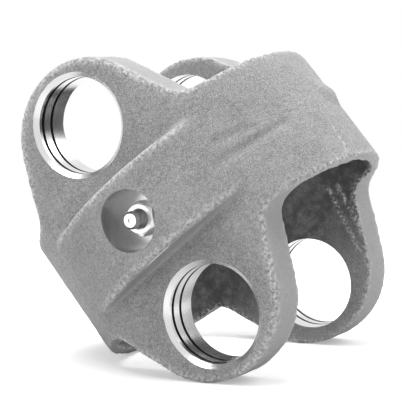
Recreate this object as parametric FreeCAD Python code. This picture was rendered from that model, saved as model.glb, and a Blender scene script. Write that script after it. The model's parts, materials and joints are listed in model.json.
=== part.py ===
"""Forged centre housing of a wide-angle driveshaft joint, with its grease nipple.

One steel forging carries two forks back to back. Each fork has a pair of ears with one line
of bores for the cross of a universal joint, and the round drum between the forks holds the
disc that keeps the two crosses centred. Everything is drawn with the bores along X and the
shaft along Y, and at the end it is laid down as it comes to rest: on the two lower ear tips
and the lower rim of the drum.
"""
import FreeCAD, Part
import math
import os

V = FreeCAD.Vector
X_AXIS, Y_AXIS, Z_AXIS = V(1, 0, 0), V(0, 1, 0), V(0, 0, 1)
ORIGIN = V(0, 0, 0)

# ---- Driving dimensions, millimetres and degrees -------------------------------------------
# Forks
BORE_DIAMETER = 35.0           # for the bearing cap of the cross
BORE_OFFSET = 41.9             # from the middle of the housing to each line of bores
EAR_SPAN = 98.7                # over the outer faces of a pair of ears
EAR_GAP = 64.4                 # between the inner faces of a pair of ears
EAR_TIP_RADIUS = 29.7
EAR_TIP_OFFSET = 35.0          # from the middle of the housing to the centre of the tip radius
FLANK_ANGLE = 25.8             # between the side of an ear and the shaft line
FORK_HEIGHT = 70.0             # of both forks where they run through the drum
SHOULDER_RADIUS = 15.0         # from the side of an ear to the fork's full height
FLARE_RADIUS = 9.5             # between the side of an ear and the rim of the drum
CHAMFER = 1.6                  # at the outer mouth of each bore
GROOVE_POSITIONS = (3.9, 9.3)  # middles of the two circlip grooves, from the outer face
GROOVE_WIDTH = 1.6
GROOVE_DEPTH = 1.0
# Drum
DRUM_ACROSS = 120.0            # over the drum in line with the bores
DRUM_HEIGHT = 125.0            # over the drum square to the bores
DRUM_WIDTH = 48.4              # along the shaft, from rim to rim
BAND_WIDTH = 31.6              # along the shaft, where the drum stands out past the ears
DRUM_WALL = 4.8                # above and below the round hollow
HOLLOW_CORNER = 6.0            # in the four corners of the hollow
FORGED_EDGE = 2.0              # rounding of the forged edges
# Slot for the centring disc, turned in the two side walls
DISC_SLOT_DIAMETER = 78.0
DISC_SLOT_WIDTH = 10.2
# Seat of the grease nipple
SEAT_DIAMETER = 22.0
SEAT_DEPTH = 12.4
# Grease nipple, in a tapped hole that opens into the disc slot
NIPPLE_THREAD = 10.0
TAPPED_DEPTH = 6.5
GREASE_PASSAGE = 3.0
SHANK_LENGTH = 5.5
HEXAGON_FLATS = 11.0
HEXAGON_HEIGHT = 4.6
HEXAGON_CROWN = 0.92           # flat top of the hexagon, as a share of its width
NIPPLE_CONE = 7.7              # diameter where the turned part leaves the hexagon
NIPPLE_NECK = 5.0
NECK_HEIGHT = 7.2              # of the neck above the seat
NIPPLE_HEAD = 6.5
HEAD_BULGE = 9.0               # of the widest part of the head above the seat
NIPPLE_FACE = 4.8
NIPPLE_HEIGHT = 10.6           # of the face above the seat
NIPPLE_BORE = 2.8
NIPPLE_MOUTH = 1.8
MOUTH_LAND = 0.5
CRIMP = 0.5                    # lip at the end of the shank that holds the spring in
CHECK_BALL = 2.5
SPRING_WIRE = 0.3
SPRING_DIAMETER = 2.0          # to the middle of the wire
SPRING_TURNS = 9
# Clearances
THREAD_CLEARANCE = 0.05        # all round the shank, whose thread is left plain
RUNNING_CLEARANCE = 0.03       # between the ball, its seat and its spring
# Modelling
FLARE_INSET = 1.0              # the flares end this far inside the surface of the drum
TOLERANCE = 0.01


def box_between(low, high):
    """Axis-parallel box from its lowest to its highest corner."""
    size = high - low
    return Part.makeBox(size.x, size.y, size.z, low)


def cylinder_along_x(radius, start, end, y=0.0, z=0.0):
    """Cylinder along X from start to end."""
    return Part.makeCylinder(radius, end - start, V(start, y, z), X_AXIS)


def both_ends(shape):
    """The shape and its mirror image at the other end of the shaft."""
    return [shape, shape.mirror(ORIGIN, Y_AXIS)]


def both_sides(shape):
    """The shape and its mirror image at the other ear of the pair."""
    return [shape, shape.mirror(ORIGIN, X_AXIS)]


def top_and_bottom(shape):
    """The shape and its mirror image below the shaft."""
    return [shape, shape.mirror(ORIGIN, Z_AXIS)]


def line(start, end):
    return Part.LineSegment(start, end).toShape()


def arc(start, middle, end):
    return Part.Arc(start, middle, end).toShape()


def tangent_arc(corner, before, after, radius):
    """Start, middle and end of the arc that rounds the corner between two straight runs."""
    inward = (before - corner).normalize()
    outward = (after - corner).normalize()
    half = inward.getAngle(outward) / 2
    reach = radius / math.tan(half)
    bisector = (inward + outward).normalize()
    centre = corner + bisector * (radius / math.sin(half))
    return corner + inward * reach, centre - bisector * radius, corner + outward * reach


def flank():
    """The side of an ear in the YZ plane: where it leaves the tip radius, and meets the rim line."""
    angle = math.radians(FLANK_ANGLE)
    rim = DRUM_WIDTH / 2
    top = V(0, EAR_TIP_OFFSET + EAR_TIP_RADIUS * math.sin(angle), EAR_TIP_RADIUS * math.cos(angle))
    foot = V(0, rim, top.z + (top.y - rim) * math.tan(angle))
    return top, foot


def fork_slab():
    """Both forks as one slab as wide as a pair of ears, before the gap is cut."""
    top, foot = flank()
    half = FORK_HEIGHT / 2
    corner = top + (foot - top) * ((half - top.z) / (foot.z - top.z))
    start, middle, end = tangent_arc(corner, top, V(0, 0, half), SHOULDER_RADIUS)
    tip = V(0, EAR_TIP_OFFSET + EAR_TIP_RADIUS, 0)
    upper = [line(V(0, 0, half), end), arc(end, middle, start), line(start, top)]
    edges = [part for edge in upper for part in top_and_bottom(edge)]
    edges.append(arc(top, tip, V(0, top.y, -top.z)))
    edges = [part for edge in edges for part in both_ends(edge)]
    outline = Part.Wire(Part.__sortEdges__(edges))
    slab = Part.Face(outline).extrude(V(EAR_SPAN, 0, 0))
    slab.translate(V(-EAR_SPAN / 2, 0, 0))
    slab = slab.removeSplitter()
    around = [edge for edge in slab.Edges if edge.BoundBox.XLength < TOLERANCE]
    return slab.makeFillet(FORGED_EDGE, around)


def oval_prism(length, inset=0.0):
    """The oval section of the drum, drawn out along the shaft."""
    across, height = DRUM_ACROSS / 2 - inset, DRUM_HEIGHT / 2 - inset
    oval = Part.Ellipse(ORIGIN, max(across, height), min(across, height)).toShape()
    oval.rotate(ORIGIN, X_AXIS, 90)
    if height > across:
        oval.rotate(ORIGIN, Y_AXIS, 90)
    oval.translate(V(0, -length / 2, 0))
    return Part.Face(Part.Wire([oval])).extrude(V(0, length, 0))


def drum():
    """The oval drum, with flats beside the band that lie in line with the ears."""
    reach = DRUM_ACROSS + DRUM_HEIGHT
    beside = box_between(V(EAR_SPAN / 2, BAND_WIDTH / 2, -reach), V(reach, reach, reach))
    body = oval_prism(DRUM_WIDTH).cut([side for end in both_ends(beside) for side in both_sides(end)])
    forged = [edge for edge in body.Edges if edge.BoundBox.YLength < DRUM_WIDTH - TOLERANCE]
    return body.makeFillet(FORGED_EDGE, forged)


def flares():
    """Concave blends between the sides of the ears and the rims of the drum."""
    top, foot = flank()
    start, middle, end = tangent_arc(foot, top, V(0, foot.y, DRUM_HEIGHT), FLARE_RADIUS)
    high, low, under = V(0, BAND_WIDTH / 2, end.z), V(0, BAND_WIDTH / 2, 0), V(0, start.y, 0)
    outline = Part.Wire([arc(start, middle, end), line(end, high), line(high, low), line(low, under),
                         line(under, start)])
    reach = EAR_SPAN / 2 - FLARE_INSET - FORGED_EDGE
    block = Part.Face(outline).extrude(V(2 * reach, 0, 0))
    block.translate(V(-reach, 0, 0))
    block = block.common(oval_prism(4 * DRUM_WIDTH, FLARE_INSET))
    return [part for end in both_ends(block) for part in top_and_bottom(end)]


def hollow():
    """The space between the ears and through the drum, round above and below."""
    reach = 4 * DRUM_WIDTH
    barrel = Part.makeCylinder(DRUM_HEIGHT / 2 - DRUM_WALL, 2 * reach, V(0, -reach, 0), Y_AXIS)
    space = barrel.common(box_between(V(-EAR_GAP / 2, -reach, -reach), V(EAR_GAP / 2, reach, reach)))
    corners = [edge for edge in space.Edges
               if edge.BoundBox.YLength > reach and abs(edge.BoundBox.XMin) > TOLERANCE]
    return space.makeFillet(HOLLOW_CORNER, corners)


def disc_slot():
    """Slot turned in the side walls for the disc that centres the joint."""
    start = V(0, -DISC_SLOT_WIDTH / 2, 0)
    return Part.makeCylinder(DISC_SLOT_DIAMETER / 2, DISC_SLOT_WIDTH, start, Y_AXIS)


def bore():
    """One line of bearing bores through a pair of ears, with chamfers and circlip grooves."""
    radius = BORE_DIAMETER / 2
    face = EAR_SPAN / 2
    through = cylinder_along_x(radius, -2 * face, 2 * face)
    mouth = Part.makeCone(radius, radius + 2 * CHAMFER, 2 * CHAMFER, V(face - CHAMFER, 0, 0), X_AXIS)
    grooves = [cylinder_along_x(radius + GROOVE_DEPTH, face - place - GROOVE_WIDTH / 2,
                                face - place + GROOVE_WIDTH / 2) for place in GROOVE_POSITIONS]
    cutter = through.fuse([side for part in [mouth] + grooves for side in both_sides(part)])
    cutter.translate(V(0, BORE_OFFSET, 0))
    return cutter


def nipple_seat():
    """Counterbore in the band with the tapped hole for the grease nipple, open to the disc slot."""
    floor = seat_floor()
    counterbore = cylinder_along_x(SEAT_DIAMETER / 2, -DRUM_ACROSS, floor)
    tapped = cylinder_along_x(NIPPLE_THREAD / 2, floor, floor + TAPPED_DEPTH)
    passage = cylinder_along_x(GREASE_PASSAGE / 2, floor, 0)
    return counterbore.fuse([tapped, passage])


def seat_floor():
    """Where the floor of the nipple's counterbore lies along X."""
    return -DRUM_ACROSS / 2 + SEAT_DEPTH


def forging():
    """The whole forging, machined, with the bores along X and the shaft along Y."""
    body = fork_slab().fuse([drum()] + flares()).removeSplitter()
    body = body.cut([hollow(), disc_slot()] + both_ends(bore()) + [nipple_seat()])
    return body.removeSplitter()


def nipple_profile():
    """Half section of the turned nipple above its hexagon and its shank, as radius and height."""
    return [
        (0, 0), (NIPPLE_CONE / 2, 0), (NIPPLE_CONE / 2, HEXAGON_HEIGHT),
        (NIPPLE_NECK / 2, NECK_HEIGHT), (NIPPLE_HEAD / 2, HEAD_BULGE), (NIPPLE_FACE / 2, NIPPLE_HEIGHT),
        (0, NIPPLE_HEIGHT),
    ]


def revolved(points):
    """Solid of revolution about Z from a half section of radii and heights."""
    corners = [V(radius, 0, height) for radius, height in points]
    return Part.Face(Part.makePolygon(corners + corners[:1])).revolve(ORIGIN, Z_AXIS, 360)


def hexagon(across_flats, height):
    """Hexagon head standing on the XY plane, its upper corners turned off at 30 degrees."""
    corner = across_flats / 2 / math.cos(math.radians(30))
    points = [V(corner * math.cos(math.radians(60 * side)), corner * math.sin(math.radians(60 * side)), 0)
              for side in range(7)]
    prism = Part.Face(Part.makePolygon(points)).extrude(V(0, 0, height))
    slope = math.tan(math.radians(30))
    top = across_flats / 2 * HEXAGON_CROWN
    reach = top + height / slope
    return prism.common(Part.makeCone(reach, top, height))


def ball_centre():
    """Height of the check ball when it closes the mouth of the nipple."""
    radius = CHECK_BALL / 2 + RUNNING_CLEARANCE
    return NIPPLE_HEIGHT - MOUTH_LAND - math.sqrt(radius ** 2 - (NIPPLE_MOUTH / 2) ** 2)


def grease_nipple():
    """Turned nipple with its hexagon and shank, bored from below, on the Z axis."""
    shank = Part.makeCylinder(NIPPLE_THREAD / 2 - THREAD_CLEARANCE, SHANK_LENGTH, V(0, 0, -SHANK_LENGTH))
    body = revolved(nipple_profile()).fuse([hexagon(HEXAGON_FLATS, HEXAGON_HEIGHT), shank])
    seat = NIPPLE_HEIGHT - MOUTH_LAND
    drop = (NIPPLE_BORE - NIPPLE_MOUTH) / 2
    bored = Part.makeCylinder(NIPPLE_BORE / 2, seat - drop + SHANK_LENGTH - CRIMP, V(0, 0, CRIMP - SHANK_LENGTH))
    cone = Part.makeCone(NIPPLE_BORE / 2, NIPPLE_MOUTH / 2, drop, V(0, 0, seat - drop))
    mouth = Part.makeCylinder(NIPPLE_MOUTH / 2, 2 * MOUTH_LAND, V(0, 0, seat))
    outlet = Part.makeCylinder(NIPPLE_MOUTH / 2, 2 * CRIMP, V(0, 0, -SHANK_LENGTH - CRIMP))
    return body.removeSplitter().cut(bored.fuse([cone, mouth, outlet])).removeSplitter()


def check_ball():
    """Ball that closes the nipple."""
    return Part.makeSphere(CHECK_BALL / 2, V(0, 0, ball_centre()))


def check_spring():
    """Spring that holds the ball shut, from the crimped end of the shank."""
    low = CRIMP - SHANK_LENGTH + SPRING_WIRE / 2 + RUNNING_CLEARANCE
    mean = SPRING_DIAMETER / 2
    reach = CHECK_BALL / 2 + SPRING_WIRE / 2 + RUNNING_CLEARANCE
    high = ball_centre() - math.sqrt(reach ** 2 - mean ** 2)
    height = high - low
    coil = Part.makeHelix(height / SPRING_TURNS, height, mean)
    wire = Part.Wire([Part.makeCircle(SPRING_WIRE / 2, V(mean, 0, 0), Y_AXIS)])
    spring = Part.Wire(coil.Edges).makePipeShell([wire], True, True)
    spring.translate(V(0, 0, low))
    return spring


def rest_tilt():
    """Angle about X at which the ear tips and the lower rim of the drum stand on one plane."""
    along = EAR_TIP_OFFSET - (DRUM_WIDTH / 2 - FORGED_EDGE)
    up = DRUM_HEIGHT / 2 - FORGED_EDGE
    lean = math.acos((EAR_TIP_RADIUS - FORGED_EDGE) / math.hypot(along, up))
    return math.degrees(lean - math.atan2(along, up))


def laid_down(shape):
    """The shape turned from the drawing position to the way the housing rests."""
    placed = shape.copy()
    placed.rotate(ORIGIN, X_AXIS, rest_tilt())
    return placed


def fitted(shape):
    """A piece of the nipple turned from the Z axis into its seat in the band."""
    placed = shape.copy()
    placed.rotate(ORIGIN, Y_AXIS, -90)
    placed.translate(V(seat_floor(), 0, 0))
    return placed


pieces = {
    "forged_yoke": forging(),
    "grease_nipple": fitted(grease_nipple()),
    "check_ball": fitted(check_ball()),
    "check_spring": fitted(check_spring()),
}

os.makedirs("parts", exist_ok=True)
for name, piece in pieces.items():
    placed = laid_down(piece)
    box = placed.BoundBox
    print(name, placed.isValid(), len(placed.Solids), round(placed.Volume, 2), "mm3",
          [round(size, 2) for size in (box.XLength, box.YLength, box.ZLength)])
    placed.exportStep("parts/" + name + ".step")
print("rest tilt", round(rest_tilt(), 3), "degrees")
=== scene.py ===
# %% [markdown]
# # Forged double yoke
# The centre housing of a wide-angle double joint: one steel forging with two forks, left rough from the
# hammer and shot-blasted, and machined bright only where something is pressed into it. A grease nipple sits
# in a turned seat in its side. The forging is modelled again here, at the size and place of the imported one.

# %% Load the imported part
import json
import math

import bpy
import numpy as np
from mathutils import Matrix, Vector


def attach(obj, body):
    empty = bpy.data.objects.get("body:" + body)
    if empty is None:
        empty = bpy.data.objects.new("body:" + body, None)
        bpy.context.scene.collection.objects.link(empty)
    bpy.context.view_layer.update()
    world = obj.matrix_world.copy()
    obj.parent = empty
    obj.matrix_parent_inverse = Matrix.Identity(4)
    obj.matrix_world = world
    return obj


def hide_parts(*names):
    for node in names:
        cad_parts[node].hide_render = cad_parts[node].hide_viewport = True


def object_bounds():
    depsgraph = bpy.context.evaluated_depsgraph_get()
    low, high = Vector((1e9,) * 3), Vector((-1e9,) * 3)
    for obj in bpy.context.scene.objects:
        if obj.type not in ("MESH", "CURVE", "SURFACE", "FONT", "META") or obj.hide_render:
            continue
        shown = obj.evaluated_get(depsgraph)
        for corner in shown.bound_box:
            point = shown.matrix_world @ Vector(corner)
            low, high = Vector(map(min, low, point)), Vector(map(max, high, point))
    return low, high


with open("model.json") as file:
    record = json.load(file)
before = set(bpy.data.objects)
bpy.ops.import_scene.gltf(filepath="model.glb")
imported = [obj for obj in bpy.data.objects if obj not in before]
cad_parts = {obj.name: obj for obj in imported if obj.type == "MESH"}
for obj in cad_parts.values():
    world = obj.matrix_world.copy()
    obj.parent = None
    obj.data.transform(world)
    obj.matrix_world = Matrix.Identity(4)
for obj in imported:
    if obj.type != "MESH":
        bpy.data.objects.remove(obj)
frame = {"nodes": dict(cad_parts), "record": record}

bpy.context.view_layer.update()
CAD_LOW, CAD_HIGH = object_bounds()
print("cad box, mm:", [round(v * 1000, 1) for v in (*CAD_LOW, *CAD_HIGH)])

# %% [markdown]
# The camera stands low beside the part and looks along its side through a long lens, so the two forks keep
# nearly the same size. Its three directions are written out, and a matrix built from them turns it.

# %% Camera
CAMERA_PLACE = Vector((-0.4855, -0.2629, 0.0463))
CAMERA_RIGHT = Vector((0.480, -0.877, -0.029))
CAMERA_BACK = Vector((-0.874, -0.480, 0.080))
LENS = 130.6

camera_data = bpy.data.cameras.new("camera")
camera_data.lens = LENS
camera_data.sensor_width = 36.0
camera = bpy.data.objects.new("camera", camera_data)
bpy.context.scene.collection.objects.link(camera)
back = CAMERA_BACK.normalized()
right = (CAMERA_RIGHT - back * CAMERA_RIGHT.dot(back)).normalized()
turn = Matrix((right, back.cross(right), back)).transposed()
camera.matrix_world = Matrix.Translation(CAMERA_PLACE) @ turn.to_4x4()
bpy.context.scene.camera = camera
print("camera looks along", [round(-v, 3) for v in back])

# %% [markdown]
# A plain pale floor lies just under the lowest point and fades out into the white world before the
# horizon, so that it keeps the shadow and shows no edge. The world is white where the camera or a reflection
# sees it, and a soft grey where it lights the part, so the background is white without flooding the steel.

# %% Floor and world
bpy.context.scene.view_settings.view_transform = "Standard"
FLOOR_SIZE = 4.0
FADE_START, FADE_END = 0.25, 0.8
FLOOR_GREY, FLOOR_GLOW = 0.60, 0.35


def shader_nodes(block):
    """The emptied node tree of a material or a world, as its nodes and links."""
    block.use_nodes = True
    block.node_tree.nodes.clear()
    return block.node_tree.nodes, block.node_tree.links


def set_inputs(node, **values):
    """Sets a node's sockets by name, with spaces written as underscores."""
    for key, value in values.items():
        node.inputs[key.replace("_", " ")].default_value = value
    return node


def grey(value):
    return (value, value, value, 1.0)


bpy.ops.object.select_all(action="DESELECT")
bpy.ops.mesh.primitive_plane_add(size=FLOOR_SIZE, location=(0, 0, CAD_LOW[2]))
floor = bpy.context.object
floor.name = "floor"
floor_paint = bpy.data.materials.new("floor_paint")
nodes, links = shader_nodes(floor_paint)
path = nodes.new("ShaderNodeLightPath")
seen = nodes.new("ShaderNodeMath")
seen.operation = "MAXIMUM"
colour = nodes.new("ShaderNodeMix")
colour.data_type = "RGBA"
colour.inputs[6].default_value = grey(FLOOR_GREY)
colour.inputs[7].default_value = grey(1.0)
paint = set_inputs(nodes.new("ShaderNodeBsdfPrincipled"), Roughness=0.9)
paint.inputs["Emission Color"].default_value = grey(1.0)
lift = set_inputs(nodes.new("ShaderNodeMapRange"), From_Min=0.0, From_Max=1.0, To_Min=0.0, To_Max=FLOOR_GLOW)
place = nodes.new("ShaderNodeTexCoord")
distance = nodes.new("ShaderNodeVectorMath")
distance.operation = "LENGTH"
fade = set_inputs(nodes.new("ShaderNodeMapRange"), From_Min=FADE_START, From_Max=FADE_END)
fade.interpolation_type = "SMOOTHSTEP"
clear = nodes.new("ShaderNodeBsdfTransparent")
blend = nodes.new("ShaderNodeMixShader")
out = nodes.new("ShaderNodeOutputMaterial")
links.new(path.outputs["Is Camera Ray"], seen.inputs[0])
links.new(path.outputs["Is Glossy Ray"], seen.inputs[1])
links.new(seen.outputs[0], colour.inputs[0])
links.new(colour.outputs[2], paint.inputs["Base Color"])
links.new(path.outputs["Is Camera Ray"], lift.inputs["Value"])
links.new(lift.outputs[0], paint.inputs["Emission Strength"])
links.new(place.outputs["Object"], distance.inputs[0])
links.new(distance.outputs["Value"], fade.inputs["Value"])
links.new(fade.outputs[0], blend.inputs[0])
links.new(paint.outputs[0], blend.inputs[1])
links.new(clear.outputs[0], blend.inputs[2])
links.new(blend.outputs[0], out.inputs[0])
floor.data.materials.append(floor_paint)

WORLD_LIGHT = 0.38
world = bpy.data.worlds.new("studio")
bpy.context.scene.world = world
nodes, links = shader_nodes(world)
path = nodes.new("ShaderNodeLightPath")
white = set_inputs(nodes.new("ShaderNodeBackground"), Color=grey(1.0), Strength=1.0)
soft = set_inputs(nodes.new("ShaderNodeBackground"), Color=grey(1.0), Strength=WORLD_LIGHT)
mix = nodes.new("ShaderNodeMixShader")
out = nodes.new("ShaderNodeOutputWorld")
seen = nodes.new("ShaderNodeMath")
seen.operation = "MAXIMUM"
links.new(path.outputs["Is Camera Ray"], seen.inputs[0])
links.new(path.outputs["Is Glossy Ray"], seen.inputs[1])
links.new(seen.outputs[0], mix.inputs["Fac"])
links.new(soft.outputs[0], mix.inputs[1])
links.new(white.outputs[0], mix.inputs[2])
links.new(mix.outputs[0], out.inputs[0])
print("floor at z", round(CAD_LOW[2] * 1000, 1), "mm, world light", WORLD_LIGHT)

# %% [markdown]
# Three square softboxes light the part: the key from nearly overhead, a weaker fill from low on the camera's
# left, and a rim light from behind. Large lamps give the steel its broad, soft highlights.


# %% Lamps
def softbox(name, place, size, watts):
    """A square area lamp that faces the middle of the part."""
    data = bpy.data.lights.new(name, "AREA")
    data.shape = "SQUARE"
    data.size = size
    data.energy = watts
    lamp = bpy.data.objects.new(name, data)
    bpy.context.scene.collection.objects.link(lamp)
    lamp.location = place
    lamp.rotation_euler = (-Vector(place)).to_track_quat("-Z", "Y").to_euler()
    return lamp


softbox("key", (-0.15, 0.10, 0.85), 0.6, 7)
softbox("fill", (-0.72, 0.40, 0.08), 0.5, 1.6)
softbox("rim", (0.60, -0.35, 0.60), 0.6, 4)

# %% [markdown]
# The forging is drawn the way its die was: its side view is one outline, its section along the shaft is
# another, and the solid is what the two have in common. The part's own frame gives the bore line, the tilt it
# rests at and the width of the drum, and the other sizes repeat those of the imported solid. Millimetres are
# turned into metres once, here.

# %% Sizes
MM = 0.001
upper = next(m for m in frame["record"]["mounts"] if m["name"] == "upper_fork_bores")
BORE_LINE = Vector(upper["pos_m"])
BORE_OFFSET = BORE_LINE.length
TILT = math.atan2(BORE_LINE.z, BORE_LINE.y)
BORE_RADIUS = upper["dims"]["r_mm"] * MM
DRUM_SIDE = CAD_HIGH[0]
DRUM_TOP = 62.5 * MM
RIM = 24.2 * MM
EAR_FACE = 49.35 * MM
EAR_INSIDE = 32.2 * MM
TIP_RADIUS = 29.7 * MM
TIP_CENTRE = 35.0 * MM
FLANK = math.radians(25.8)
FLARE_RADIUS = 9.5 * MM
BAND_HALF = 15.8 * MM
BAND_SINK = 1.0 * MM
HOLLOW_RADIUS = 57.7 * MM
SLOT_RADIUS, SLOT_HALF = 39.0 * MM, 5.1 * MM
SEAT_RADIUS, SEAT_FLOOR = 11.0 * MM, -DRUM_SIDE + 12.4 * MM
TAPPED_RADIUS, TAPPED_END = 5.0 * MM, SEAT_FLOOR + 6.5 * MM
PASSAGE_RADIUS = 1.5 * MM
print("bore line", round(BORE_OFFSET / MM, 2), "mm out, tilt", round(math.degrees(TILT), 2), "degrees")


# %% Helpers for modelling
def alone(piece=None):
    """Selects this piece and nothing else."""
    bpy.ops.object.select_all(action="DESELECT")
    if piece:
        piece.select_set(True)
        bpy.context.view_layer.objects.active = piece


def applied(piece, kind, **settings):
    """Adds a modifier, sets it and applies it."""
    alone(piece)
    modifier = piece.modifiers.new(kind.lower(), kind)
    for key, value in settings.items():
        setattr(modifier, key, value)
    bpy.ops.object.modifier_apply(modifier=modifier.name)


def combined(piece, operation, other):
    """Cuts, adds or intersects a piece with another, which is used up."""
    applied(piece, "BOOLEAN", operation=operation, object=other, solver="MANIFOLD", material_mode="TRANSFER")
    bpy.data.objects.remove(other)


def tipped(piece, turn=0.0):
    """Turns a piece by this much about Z and then by the resting tilt, and keeps it in its mesh."""
    alone(piece)
    piece.matrix_world = Matrix.Rotation(TILT, 4, "X") @ Matrix.Rotation(turn, 4, "Z") @ piece.matrix_world
    bpy.ops.object.transform_apply(location=True, rotation=True, scale=True)


def drawn(name, outline, half, along):
    """A solid made by tracing a closed outline with an edge that lies along X or Y."""
    alone()
    bpy.ops.mesh.primitive_plane_add(size=2 * half)
    piece = bpy.context.object
    piece.name = name
    across = 1 if along == "X" else 0
    bpy.ops.object.mode_set(mode="EDIT")
    bpy.ops.mesh.select_all(action="DESELECT")
    bpy.ops.object.mode_set(mode="OBJECT")
    for vertex in piece.data.vertices:
        vertex.select = vertex.co[across] > 0
    bpy.ops.object.mode_set(mode="EDIT")
    bpy.ops.mesh.delete(type="VERT")
    bpy.ops.mesh.select_all(action="SELECT")
    places = [Vector((0, u, v)) if along == "X" else Vector((u, 0, v)) for u, v in outline]
    start = Vector((0, -half, 0)) if along == "X" else Vector((-half, 0, 0))
    bpy.ops.transform.translate(value=places[0] - start)
    for here, there in zip(places, places[1:] + places[:1]):
        bpy.ops.mesh.extrude_region_move(TRANSFORM_OT_translate={"value": there - here})
    bpy.ops.mesh.select_all(action="SELECT")
    bpy.ops.mesh.remove_doubles(threshold=MM / 1000)
    bpy.ops.mesh.fill_holes(sides=0)
    bpy.ops.mesh.normals_make_consistent(inside=False)
    bpy.ops.object.mode_set(mode="OBJECT")
    return piece


def turned(name, stations, sides=128):
    """A solid of revolution about X, from (place along X, radius) at each station."""
    (x, radius), others = stations[0], stations[1:]
    alone()
    bpy.ops.mesh.primitive_circle_add(
        vertices=sides, radius=radius, fill_type="NGON", location=(x, 0, 0), rotation=(0, math.pi / 2, 0)
    )
    piece = bpy.context.object
    piece.name = name
    bpy.ops.object.transform_apply(location=True, rotation=True, scale=True)
    bpy.ops.object.mode_set(mode="EDIT")
    bpy.ops.mesh.select_all(action="SELECT")
    for next_x, next_radius in others:
        bpy.ops.mesh.extrude_region_move(TRANSFORM_OT_translate={"value": (next_x - x, 0, 0)})
        wider = next_radius / radius
        bpy.ops.transform.resize(value=(1, wider, wider), center_override=(next_x, 0, 0))
        x, radius = next_x, next_radius
    bpy.ops.mesh.select_all(action="SELECT")
    bpy.ops.mesh.normals_make_consistent(inside=False)
    bpy.ops.object.mode_set(mode="OBJECT")
    return piece


# %% Outlines
def arc(centre_u, centre_v, radius, start, end, steps):
    """Points on an arc, angles in radians."""
    angles = [start + (end - start) * i / steps for i in range(steps + 1)]
    return [(centre_u + radius * math.cos(a), centre_v + radius * math.sin(a)) for a in angles]


def side_outline():
    """Both forks and the drum from the side: along the shaft, and square to it."""
    lean = math.pi / 2 - FLANK
    top_u = TIP_CENTRE + TIP_RADIUS * math.cos(lean)
    top_v = TIP_RADIUS * math.sin(lean)
    flare_u = RIM + FLARE_RADIUS
    flare_v = top_v + (top_u - flare_u) * math.tan(FLANK) + FLARE_RADIUS / math.cos(FLANK)
    quarter = arc(TIP_CENTRE, 0, TIP_RADIUS, 0, lean, 16)
    quarter += arc(flare_u, flare_v, FLARE_RADIUS, math.pi + lean, math.pi, 8)
    quarter.append((RIM, 1.2 * DRUM_TOP))
    upper_half = quarter + [(-u, v) for u, v in reversed(quarter)]
    return upper_half + [(u, -v) for u, v in reversed(upper_half[1:-1])]


def flattened_oval(across, height, side, softness, steps=144):
    """An oval whose two sides are cut flat, with the corners eased."""
    points = []
    for i in range(steps):
        angle = 2 * math.pi * i / steps
        reach = abs(across * math.cos(angle))
        overlap = max(softness - abs(reach - side), 0) / softness
        reach = min(reach, side) - overlap ** 2 * softness / 4
        points.append((math.copysign(reach, math.cos(angle)), height * math.sin(angle)))
    return points


print("side outline of", len(side_outline()), "points")

# %% [markdown]
# **The forging.** Two drawn solids are intersected, the raised band is added and the hollow cut away. A voxel
# remesh then melts everything into one even skin, smoothing rounds every edge as a die does, and two gentle
# cloud displacements leave the surface slightly uneven. Only after that are the bores, the slot and the seat
# cut, so that their edges stay as crisp as machining leaves them.

# %% Forged body
VOXEL = 0.95 * MM
EDGE_PASSES = 3
EXPOSURE_PASSES, EXPOSURE_DEPTH = 24, 0.35 * MM
WAVES = ((9.0 * MM, 0.45 * MM), (2.6 * MM, 0.22 * MM))
CREASE_SOFTNESS = 6.0 * MM
HOLLOW_SOFTNESS = 5.0 * MM
BAND_EDGE = 1.3 * MM

yoke = drawn("yoke_forging", side_outline(), DRUM_SIDE, "X")
combined(
    yoke, "INTERSECT",
    drawn("skin", flattened_oval(DRUM_SIDE, DRUM_TOP, EAR_FACE, CREASE_SOFTNESS), 2 * RIM + TIP_RADIUS, "Y"),
)
band = drawn("band", flattened_oval(DRUM_SIDE, DRUM_TOP - BAND_SINK, 2 * DRUM_SIDE, MM), BAND_HALF, "Y")
applied(band, "BEVEL", width=BAND_EDGE, segments=4, limit_method="ANGLE")
combined(yoke, "UNION", band)
hollow = flattened_oval(HOLLOW_RADIUS, HOLLOW_RADIUS, EAR_INSIDE, HOLLOW_SOFTNESS)
combined(yoke, "DIFFERENCE", drawn("space", hollow, 2 * RIM + TIP_RADIUS, "Y"))
tipped(yoke)
applied(yoke, "REMESH", mode="VOXEL", voxel_size=VOXEL)
applied(yoke, "SMOOTH", factor=0.5, iterations=EDGE_PASSES)


def points(piece):
    """The vertices of a piece as an array."""
    flat = np.zeros(3 * len(piece.data.vertices), np.float32)
    piece.data.vertices.foreach_get("co", flat)
    return flat.reshape(-1, 3)


# Smoothing pulls a sharp edge inwards and leaves a flat face alone, so how far each point of a copy moves
# tells how exposed it is. The forging keeps that as an attribute for its finish.
alone(yoke)
bpy.ops.object.duplicate()
copy = bpy.context.object
applied(copy, "SMOOTH", factor=0.5, iterations=EXPOSURE_PASSES)
outwards = np.array([v.normal for v in yoke.data.vertices], np.float32)
exposed = ((points(yoke) - points(copy)) * outwards).sum(1) / EXPOSURE_DEPTH
bpy.data.objects.remove(copy)


def kept(name, values):
    """Keeps a number from 0 to 1 at each point of the forging, for its finish to read."""
    attribute = yoke.data.attributes.get(name) or yoke.data.attributes.new(name, "FLOAT", "POINT")
    attribute.data.foreach_set("value", np.clip(values, 0, 1).astype(np.float32))


# The side walls face along the shaft, and are paler than the rest.
shaft = np.array((0, math.cos(TILT), math.sin(TILT)))
kept("wall", (np.abs(outwards @ shaft) - 0.30) / 0.15)

# %% [markdown]
# No two forgings are alike. This one has a low boss on top of its drum, two shallow dents lower down on the
# side of the nipple, and a few scratches and bright streaks. Each mark follows a short path: the points near
# it join a vertex group, and a displace modifier moves them in or out by a little.

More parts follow.
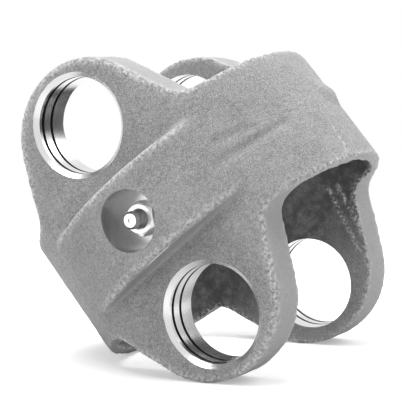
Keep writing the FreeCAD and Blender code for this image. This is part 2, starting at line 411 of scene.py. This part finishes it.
# %% Marks of the hammer and of handling
DRUM_MARKS = (  # path as (degrees round, millimetres along), then reach, height and brightness
    (((85, 5), (77, 4)), 7.0, 1.5, 0.0),
    (((142, 3), (129, 1)), 3.0, -0.45, 0.0),
    (((146, -4), (130, -4), (117, -3)), 2.8, -0.55, 0.0),
    (((98, -11), (99, -16)), 1.3, -0.25, 0.9),
    (((99, -18), (102, -24)), 1.4, -0.25, 0.9),
    (((172, 6), (166, 7)), 1.6, -0.35, 0.4),
    (((190, -6), (196, -7)), 1.6, -0.35, 0.4),
)
EAR_MARKS = (  # path as (millimetres along, millimetres up), then the same three
    (((-19, 30), (-45, 25)), 1.6, 0.30, 1.0),
    (((-20, 34), (-36, 31)), 1.5, 0.30, 1.0),
)


def on_drum(degrees, along):
    """A place on the skin of the drum."""
    angle = math.radians(degrees)
    return np.array((DRUM_SIDE * math.cos(angle), along * MM, DRUM_TOP * math.sin(angle)))


def on_ear(along, up):
    """A place on the inner face of an ear."""
    return np.array((EAR_INSIDE, along * MM, up * MM))


def nearness(places, path, reach):
    """From 0 away from a path to 1 on it, eased, for each place."""
    nearest = np.full(len(places), np.inf)
    for start, end in zip(path, path[1:]):
        along = end - start
        share = np.clip((places - start) @ along / (along @ along), 0, 1)
        away = np.linalg.norm(places - start - share[:, None] * along, axis=1)
        nearest = np.minimum(nearest, away)
    near = np.clip(1 - nearest / (reach * MM), 0, 1)
    return near * near * (3 - 2 * near)


untipped = np.array(Matrix.Rotation(-TILT, 3, "X"))
bright = np.clip(exposed, 0, 1)
marks = [(on_drum, mark) for mark in DRUM_MARKS] + [(on_ear, mark) for mark in EAR_MARKS]
for placed, (path, reach, height, brightness) in marks:
    near = nearness(points(yoke) @ untipped.T, [placed(*spot) for spot in path], reach)
    members = yoke.vertex_groups.new(name="mark")
    for index in np.flatnonzero(near > 0):
        members.add([int(index)], float(near[index]), "REPLACE")
    applied(yoke, "DISPLACE", strength=height * MM, mid_level=0.0, vertex_group=members.name)
    bright = np.maximum(bright, near * brightness)
    yoke.vertex_groups.clear()
# Exposed edges and bright marks are kept for the finish: rubbed bright by blasting and handling, and partly a
# painted highlight along the edges.
kept("wear_and_highlight", bright)
print(len(marks), "marks on the forging")

# %% Uneven skin
for size, height in WAVES:
    clouds = bpy.data.textures.new("waves", "CLOUDS")
    clouds.noise_scale = size
    applied(yoke, "DISPLACE", texture=clouds, texture_coords="LOCAL", strength=height, mid_level=0.5)
print("forged skin:", len(yoke.data.polygons), "faces")

# %% [markdown]
# **Finishes.** The forged skin is shot-blasted: dull, grey and grainy, with a fine speckle where the shot
# left bright dints. What a tool has cut is bright and carries fine turning marks. Both effects are small
# node groups that read the place on the part, so they stay put from every side.


# %% Node groups
def group(name, inputs, output):
    """A new node group with float inputs and one float output, and its own two end nodes."""
    tree = bpy.data.node_groups.new(name, "ShaderNodeTree")
    for key, value in inputs.items():
        tree.interface.new_socket(key, in_out="INPUT", socket_type="NodeSocketFloat").default_value = value
    tree.interface.new_socket(output, in_out="OUTPUT", socket_type="NodeSocketFloat")
    return tree, tree.nodes.new("NodeGroupInput"), tree.nodes.new("NodeGroupOutput")


grain, ends_in, ends_out = group("grain", {"Scale": 1000.0, "Low": 0.35, "High": 0.65}, "Mask")
coordinates = grain.nodes.new("ShaderNodeTexCoord")
noise = set_inputs(grain.nodes.new("ShaderNodeTexNoise"), Detail=3.0, Roughness=0.6)
spread = grain.nodes.new("ShaderNodeMapRange")
grain.links.new(coordinates.outputs["Object"], noise.inputs["Vector"])
grain.links.new(ends_in.outputs["Scale"], noise.inputs["Scale"])
grain.links.new(noise.outputs["Fac"], spread.inputs["Value"])
grain.links.new(ends_in.outputs["Low"], spread.inputs["From Min"])
grain.links.new(ends_in.outputs["High"], spread.inputs["From Max"])
grain.links.new(spread.outputs[0], ends_out.inputs["Mask"])

rings, ends_in, ends_out = group("turning_marks", {"Scale": 3000.0}, "Mask")
coordinates = rings.nodes.new("ShaderNodeTexCoord")
apart = rings.nodes.new("ShaderNodeSeparateXYZ")
noise = set_inputs(rings.nodes.new("ShaderNodeTexNoise"), Detail=2.0)
noise.noise_dimensions = "1D"
rings.links.new(coordinates.outputs["Object"], apart.inputs[0])
rings.links.new(apart.outputs["X"], noise.inputs["W"])
rings.links.new(ends_in.outputs["Scale"], noise.inputs["Scale"])
rings.links.new(noise.outputs["Fac"], ends_out.inputs["Mask"])
print("node groups:", [tree.name for tree in bpy.data.node_groups])


# %% Materials
def added(nodes, links, mask, value):
    """A node that scales a mask by this value and adds what is linked to its last socket."""
    node = nodes.new("ShaderNodeMath")
    node.operation = "MULTIPLY_ADD"
    node.inputs[1].default_value = value
    node.inputs[2].default_value = 0.0
    links.new(mask, node.inputs[0])
    return node


def steel(name, dark, light, roughness, metallic, masks, depth):
    """A steel finish: its colour runs from dark to light by the weighted masks, which also raise it."""
    material = bpy.data.materials.new(name)
    nodes, links = shader_nodes(material)
    shader = set_inputs(nodes.new("ShaderNodeBsdfPrincipled"), Metallic=metallic, Roughness=roughness)
    total = None
    for tree, values, weight in masks:
        mask = nodes.new("ShaderNodeGroup")
        mask.node_tree = tree
        set_inputs(mask, **values)
        scaled = added(nodes, links, mask.outputs["Mask"], weight)
        if total:
            links.new(total.outputs[0], scaled.inputs[2])
        total = scaled
    colour = nodes.new("ShaderNodeMix")
    colour.data_type = "RGBA"
    colour.inputs[6].default_value = grey(dark)
    colour.inputs[7].default_value = grey(light)
    bump = set_inputs(nodes.new("ShaderNodeBump"), Strength=1.0, Distance=depth)
    out = nodes.new("ShaderNodeOutputMaterial")
    links.new(total.outputs[0], colour.inputs[0])
    links.new(total.outputs[0], bump.inputs["Height"])
    links.new(colour.outputs[2], shader.inputs["Base Color"])
    links.new(bump.outputs[0], shader.inputs["Normal"])
    links.new(shader.outputs[0], out.inputs[0])
    return material


forged = steel(
    "forged_steel", 0.16, 0.50, 0.55, 0.25,
    (
        (grain, {"Scale": 2300.0, "Low": 0.37, "High": 0.63}, 0.62),
        (grain, {"Scale": 700.0, "Low": 0.34, "High": 0.66}, 0.23),
        (grain, {"Scale": 70.0, "Low": 0.35, "High": 0.65}, 0.15),
    ),
    0.24 * MM,
)
machined = steel("machined_steel", 0.62, 0.82, 0.22, 1.0, ((rings, {"Scale": 2600.0}, 1.0),), 0.006 * MM)
# The seat's finish is the machined one made darker: painted shade in the recess of the seat.
shaded_seat_steel = steel("shaded_seat_steel", 0.34, 0.52, 0.26, 1.0, ((rings, {"Scale": 2600.0}, 1.0),), 0.006 * MM)
# The groove finish is near black: painted shade in the circlip grooves, partly oil.
groove_shade_steel = steel("groove_shade_steel", 0.03, 0.07, 0.45, 0.5, ((rings, {"Scale": 2600.0}, 1.0),), 0.006 * MM)
zinc = steel("zinc_plated_steel", 0.66, 0.84, 0.28, 1.0, ((grain, {"Scale": 900.0}, 1.0),), 0.01 * MM)
bearing = steel("bearing_steel", 0.72, 0.78, 0.12, 1.0, ((grain, {"Scale": 500.0}, 1.0),), 0.001 * MM)
spring = steel("spring_steel", 0.42, 0.55, 0.30, 1.0, ((grain, {"Scale": 900.0}, 1.0),), 0.005 * MM)

# %% [markdown]
# The forged finish gets three more touches. Exposed edges carry a coarse light speckle, rubbed bright by
# blasting and handling and partly a painted highlight. The side walls are paler. Inside the hollow the colour
# is darkened in patches that thin out towards the ends of the ears: painted shade, partly the dark scale left
# where little shot reaches.

# %% Edge speckle and highlight, and painted shade in the hollow
# The hollow's dark grey, its patches and its fade along the shaft are painted shade, partly dark scale.
WEAR_AND_HIGHLIGHT_GREY, WALL_GREY, HOLLOW_SHADE_GREY = 0.70, 0.46, 0.06
SHADE_FADE_START, SHADE_FADE_END = 26.0 * MM, 50.0 * MM
SHADE_COVER, SHADE_PATCHES = 0.5, 0.45
WALL_COVER = 0.6
INSIDE_SIDE = EAR_INSIDE + 0.7 * MM
INSIDE_RADIUS = HOLLOW_RADIUS + 0.3 * MM
nodes, links = forged.node_tree.nodes, forged.node_tree.links
shader = next(n for n in nodes if n.type == "BSDF_PRINCIPLED")
base = shader.inputs["Base Color"].links[0].from_socket

# The edge speckle lightens exposed edges: rubbed steel, and partly a painted highlight.
worn_and_lit = nodes.new("ShaderNodeAttribute")
worn_and_lit.attribute_name = "wear_and_highlight"
specks = nodes.new("ShaderNodeGroup")
specks.node_tree = grain
set_inputs(specks, Scale=850.0, Low=0.42, High=0.62)
speckle = nodes.new("ShaderNodeMath")
speckle.operation = "MULTIPLY"
links.new(worn_and_lit.outputs["Fac"], speckle.inputs[0])
links.new(specks.outputs["Mask"], speckle.inputs[1])
brighter = nodes.new("ShaderNodeMix")
brighter.data_type = "RGBA"
brighter.inputs[7].default_value = grey(WEAR_AND_HIGHLIGHT_GREY)
wall = nodes.new("ShaderNodeAttribute")
wall.attribute_name = "wall"
plain = nodes.new("ShaderNodeMix")
plain.data_type = "RGBA"
plain.inputs[7].default_value = grey(WALL_GREY)
paler = added(nodes, links, wall.outputs["Fac"], WALL_COVER)
links.new(paler.outputs[0], plain.inputs[0])
links.new(base, plain.inputs[6])
links.new(speckle.outputs[0], brighter.inputs[0])
links.new(plain.outputs[2], brighter.inputs[6])

place = nodes.new("ShaderNodeTexCoord")
level = nodes.new("ShaderNodeMapping")
level.inputs["Rotation"].default_value = (-TILT, 0, 0)
apart = nodes.new("ShaderNodeSeparateXYZ")
together = nodes.new("ShaderNodeCombineXYZ")
reach = nodes.new("ShaderNodeVectorMath")
reach.operation = "LENGTH"
side = nodes.new("ShaderNodeMath")
side.operation = "ABSOLUTE"
links.new(place.outputs["Object"], level.inputs["Vector"])
links.new(level.outputs[0], apart.inputs[0])
links.new(apart.outputs["X"], side.inputs[0])
links.new(apart.outputs["X"], together.inputs["X"])
links.new(apart.outputs["Z"], together.inputs["Y"])
links.new(together.outputs[0], reach.inputs[0])
out_along = nodes.new("ShaderNodeMath")
out_along.operation = "ABSOLUTE"
links.new(apart.outputs["Y"], out_along.inputs[0])
patches = nodes.new("ShaderNodeGroup")
patches.node_tree = grain
set_inputs(patches, Scale=260.0, Low=0.25, High=0.60)
# The dark scale below is painted shade in the hollow; it fades out with each of these distances.
FADES = (  # a distance, and where the scale starts to fade and has gone
    (side.outputs[0], INSIDE_SIDE - 0.5 * MM, INSIDE_SIDE + 0.5 * MM),
    (reach.outputs["Value"], INSIDE_RADIUS - 0.5 * MM, INSIDE_RADIUS + 0.5 * MM),
    (out_along.outputs[0], SHADE_FADE_START, SHADE_FADE_END),
    (speckle.outputs[0], 0.0, 0.8),
)
cover = added(nodes, links, patches.outputs["Mask"], SHADE_PATCHES)
cover.inputs[2].default_value = SHADE_COVER
for distance, near, far in FADES:
    inside = set_inputs(nodes.new("ShaderNodeMapRange"), From_Min=near, From_Max=far, To_Min=1.0, To_Max=0.0)
    both = nodes.new("ShaderNodeMath")
    both.operation = "MULTIPLY"
    links.new(distance, inside.inputs["Value"])
    links.new(inside.outputs[0], both.inputs[0])
    links.new(cover.outputs[0], both.inputs[1])
    cover = both
# Mixes the dark grey of the painted shade into the hollow.
scaled = nodes.new("ShaderNodeMix")
scaled.data_type = "RGBA"
scaled.inputs[7].default_value = grey(HOLLOW_SHADE_GREY)
links.new(cover.outputs[0], scaled.inputs[0])
links.new(brighter.outputs[2], scaled.inputs[6])
links.new(scaled.outputs[2], shader.inputs["Base Color"])
print("forged finish:", len(nodes), "nodes")

# %% Finishes on the small pieces
CAD_FINISHES = {
    "grease_nipple": ("zinc_plated_steel", zinc),
    "check_ball": ("bearing_steel", bearing),
    "check_spring": ("spring_steel", spring),
}
for node, (slot_name, finish) in CAD_FINISHES.items():
    piece = frame["nodes"][node]
    piece.data.materials.clear()
    piece.data.materials.append(finish)
yoke.data.materials.clear()
yoke.data.materials.append(forged)
print("finishes:", [m.name for m in bpy.data.materials])

# %% [markdown]
# ** Machining.** Each cutter is turned on a lathe of its own: a circle is extruded along X and resized at each
# step. The bore cutter has the chamfer and the two circlip grooves of each ear. The cutters carry their own
# finishes, bright on the bores, darker in the nipple's seat as painted shade, and dark in the grooves as
# painted shade, partly oil, and the cut faces take them over.

# %% Cutters
CHAMFER = 1.6 * MM
GROOVES = (3.9 * MM, 9.3 * MM)
GROOVE_HALF, GROOVE_DEPTH = 0.8 * MM, 1.0 * MM
CLEAR = 8.0 * MM


def bore_stations():
    """One ear's bore from the middle outwards, as places along X and radii."""
    stations = []
    for place in reversed(GROOVES):
        inner, outer = EAR_FACE - place - GROOVE_HALF, EAR_FACE - place + GROOVE_HALF
        deep = BORE_RADIUS + GROOVE_DEPTH
        stations += [(inner, BORE_RADIUS), (inner, deep), (outer, deep), (outer, BORE_RADIUS)]
    return stations + [(EAR_FACE - CHAMFER, BORE_RADIUS), (EAR_FACE + CLEAR, BORE_RADIUS + CHAMFER + CLEAR)]


def cut(cutter, finish):
    """Takes a cutter's shape out of the forging and leaves its finish."""
    if not cutter.data.materials:
        cutter.data.materials.append(finish)
    combined(yoke, "DIFFERENCE", cutter)


def groove_shaded(cutter):
    """Gives the faces that stand out past the bore, where the grooves are, a dark colour: painted shade,
    partly oil.
    """
    cutter.data.materials.append(machined)
    cutter.data.materials.append(groove_shade_steel)
    deep = BORE_RADIUS + GROOVE_DEPTH / 4
    for face in cutter.data.polygons:
        if abs(face.center.x) < EAR_FACE - CHAMFER and math.hypot(face.center.y, face.center.z) > deep:
            face.material_index = 1


for end in (1, -1):
    half = bore_stations()
    bore = turned("bore", [(-x, r) for x, r in reversed(half)] + half)
    groove_shaded(bore)
    bore.location = (0, end * BORE_OFFSET, 0)
    tipped(bore)
    cut(bore, machined)
slot = turned("disc_slot", [(-SLOT_HALF, SLOT_RADIUS), (SLOT_HALF, SLOT_RADIUS)])
tipped(slot, math.pi / 2)
cut(slot, machined)
seat = turned(
    "nipple_seat",
    [
        (-DRUM_SIDE - CLEAR, SEAT_RADIUS), (SEAT_FLOOR, SEAT_RADIUS), (SEAT_FLOOR, TAPPED_RADIUS),
        (TAPPED_END, TAPPED_RADIUS), (TAPPED_END, PASSAGE_RADIUS), (0, PASSAGE_RADIUS),
    ],
)
tipped(seat)
# The seat takes the darker finish, painted shade in its recess.
cut(seat, shaded_seat_steel)
alone(yoke)
bpy.ops.object.shade_smooth_by_angle(angle=math.radians(30))
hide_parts("forged_yoke")
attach(yoke, "housing")
print("machined yoke:", len(yoke.data.polygons), "faces,", len(yoke.data.materials), "finishes")
